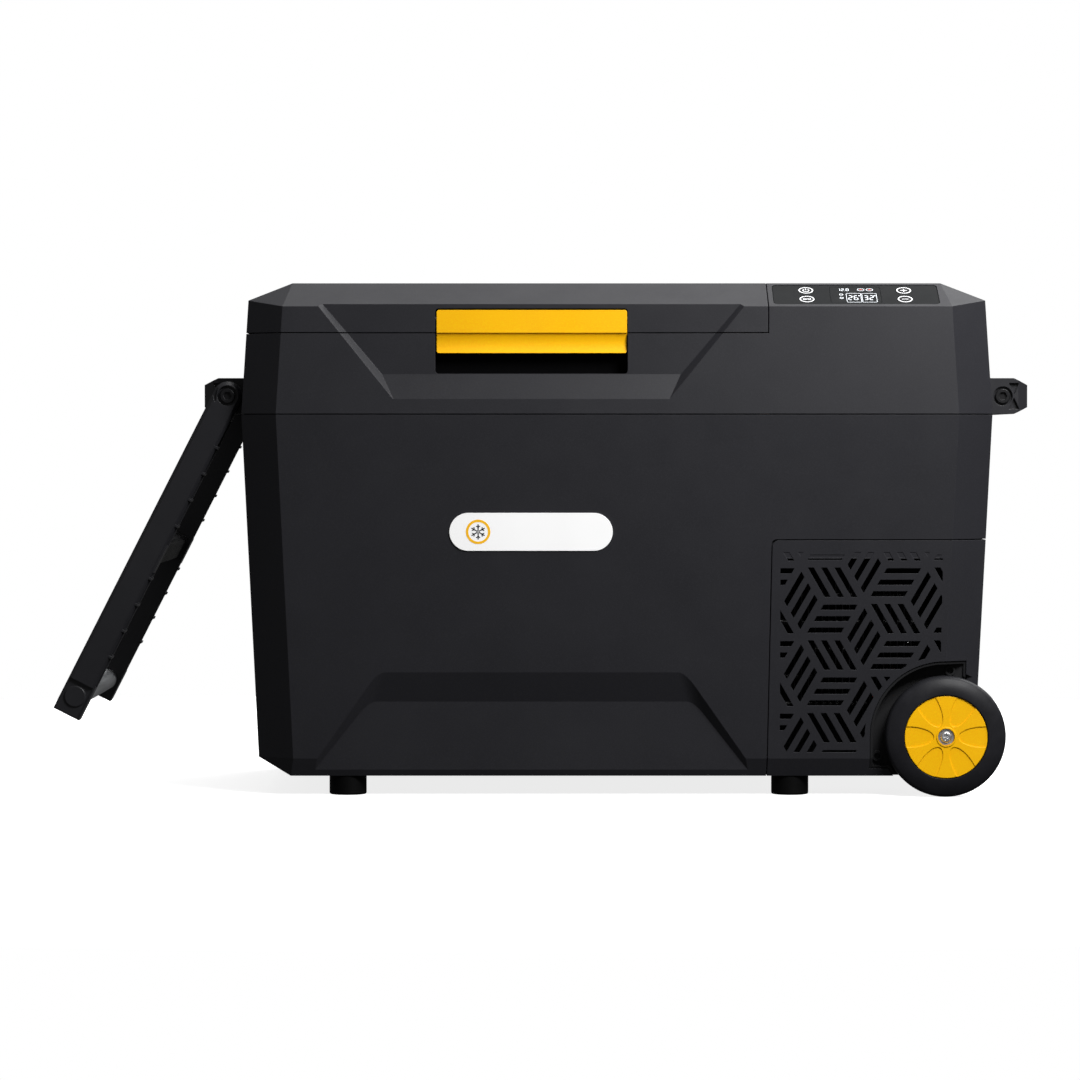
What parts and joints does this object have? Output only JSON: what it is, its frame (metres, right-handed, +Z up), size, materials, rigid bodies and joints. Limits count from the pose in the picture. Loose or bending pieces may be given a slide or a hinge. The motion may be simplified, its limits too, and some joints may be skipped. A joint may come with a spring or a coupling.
{
  "type": "compressor cooler fridge",
  "caption": "Wheeled compressor cooler box with a hinged lid, sprung latch, pierced machine cover, sloped control panel, end handles and a swinging tow handle.",
  "frame": {"origin": "centre of the whole object's footprint box, on the floor", "axes": "+Z up, -Y towards the front with the latch, +X towards the machine end with the wheels"},
  "size_m": [0.858, 0.3802, 0.448],
  "materials": {
    "casing_plastic": "fine grained charcoal moulding",
    "lid_plastic": "fine grained charcoal moulding",
    "black_plastic": "smooth black moulding",
    "handle_plastic": "satin black moulding",
    "yellow_plastic": "satin warm yellow",
    "liner_plastic": "light grey food-safe moulding",
    "foam": null,
    "gasket_rubber": "soft black gasket",
    "foot_rubber": "hard black rubber",
    "tyre": "solid tyre, semi matt",
    "panel_gloss": "high gloss black",
    "key_gloss": "black key with a pale ring",
    "steel": "zinc plated",
    "chrome": "bright plated",
    "grip_metal": "satin tube",
    "copper": "copper tube",
    "black_paint": "black enamel",
    "board_green": "circuit board",
    "badge_white": "white plate, blank",
    "lamp": "frosted lamp cover"
  },
  "bodies": {
    "casing": {"lower_shell": "casing_plastic", "machine_cover": "casing_plastic", "base_pan": "steel", "casing_screws": "steel", "wheel_arch_front": "black_plastic", "wheel_arch_rear": "black_plastic", "upper_collar": "casing_plastic", "control_bezel": "panel_gloss", "display_window": "panel_gloss", "display_board": "board_green", "power_board": "board_green", "dc_inlet": "black_plastic", "tub_liner": "liner_plastic", "tub_foam": "foam", "evaporator_tube": "copper", "zone_divider": "liner_plastic", "drain_plug": "black_plastic", "interior_lamp": "lamp", "compressor": "black_paint", "compressor_mounts": "foot_rubber", "condenser_coil": "black_paint", "condenser_fins": "black_paint", "fan_shroud": "black_plastic", "fan_motor": "steel", "filter_drier": "copper", "refrigerant_pipes": "copper", "latch_keeper": "steel", "hinge_brackets": "steel", "hinge_pins": "steel", "side_handle_left": "handle_plastic", "side_handle_right": "handle_plastic", "handle_bolts": "black_paint", "wheel_axle": "steel", "axle_screws": "chrome", "foot_front_left": "foot_rubber", "foot_rear_left": "foot_rubber", "foot_front_right": "foot_rubber", "foot_rear_right": "foot_rubber", "badge_plate": "badge_white"},
    "lid": {"lid_shell": "lid_plastic", "lid_liner": "liner_plastic", "lid_foam": "foam", "lid_seal": "gasket_rubber", "lid_hinge_leaves": "steel", "latch_pin": "steel", "latch_spring": "steel"},
    "latch": {"latch_handle": "yellow_plastic"},
    "tow_handle": {"tow_arm_front": "handle_plastic", "tow_arm_rear": "handle_plastic", "tow_crossbar": "handle_plastic", "tow_grip_tube": "grip_metal"},
    "front_wheel": {"front_tyre": "tyre", "front_hub": "yellow_plastic"},
    "rear_wheel": {"rear_tyre": "tyre", "rear_hub": "yellow_plastic"},
    "fan": {"fan_rotor": "black_plastic"},
    "power_key": {"power_button": "key_gloss"},
    "mode_key": {"mode_button": "key_gloss"},
    "plus_key": {"plus_button": "key_gloss"},
    "minus_key": {"minus_button": "key_gloss"}
  },
  "joints": [
    {"name": "lid_hinge", "type": "hinge", "parent": "casing", "child": "lid", "pos_m": [-0.03257, 0.1856, 0.4035], "axis": [-1, 0, 0], "range_deg": [0, 95]},
    {"name": "latch_pivot", "type": "hinge", "parent": "lid", "child": "latch", "pos_m": [-0.00907, -0.1716, 0.4162], "axis": [-1, 0, 0], "range_deg": [0, 24], "stiffness_Nm_per_rad": 0.15, "springref_deg": -14.32},
    {"name": "tow_handle_pivot", "type": "hinge", "parent": "casing", "child": "tow_handle", "pos_m": [-0.27557, 0, 0.3491], "axis": [0, 1, 0], "range_deg": [-26, 103]},
    {"name": "front_wheel_spin", "type": "hinge", "parent": "casing", "child": "front_wheel", "pos_m": [0.35103, -0.1765, 0.0525], "axis": [0, 1, 0], "continuous": true},
    {"name": "rear_wheel_spin", "type": "hinge", "parent": "casing", "child": "rear_wheel", "pos_m": [0.35103, 0.1765, 0.0525], "axis": [0, 1, 0], "continuous": true},
    {"name": "fan_spin", "type": "hinge", "parent": "casing", "child": "fan", "pos_m": [0.27143, -0.102, 0.126], "axis": [0, 1, 0], "continuous": true},
    {"name": "power_key_press", "type": "slide", "parent": "casing", "child": "power_key", "axis": [0, 0.4406, -0.8977], "range_m": [0, 0.0007], "stiffness_N_per_m": 400, "springref_m": -0.0008},
    {"name": "mode_key_press", "type": "slide", "parent": "casing", "child": "mode_key", "axis": [0, 0.4406, -0.8977], "range_m": [0, 0.0007], "stiffness_N_per_m": 400, "springref_m": -0.0008},
    {"name": "plus_key_press", "type": "slide", "parent": "casing", "child": "plus_key", "axis": [0, 0.4406, -0.8977], "range_m": [0, 0.0007], "stiffness_N_per_m": 400, "springref_m": -0.0008},
    {"name": "minus_key_press", "type": "slide", "parent": "casing", "child": "minus_key", "axis": [0, 0.4406, -0.8977], "range_m": [0, 0.0007], "stiffness_N_per_m": 400, "springref_m": -0.0008}
  ]
}
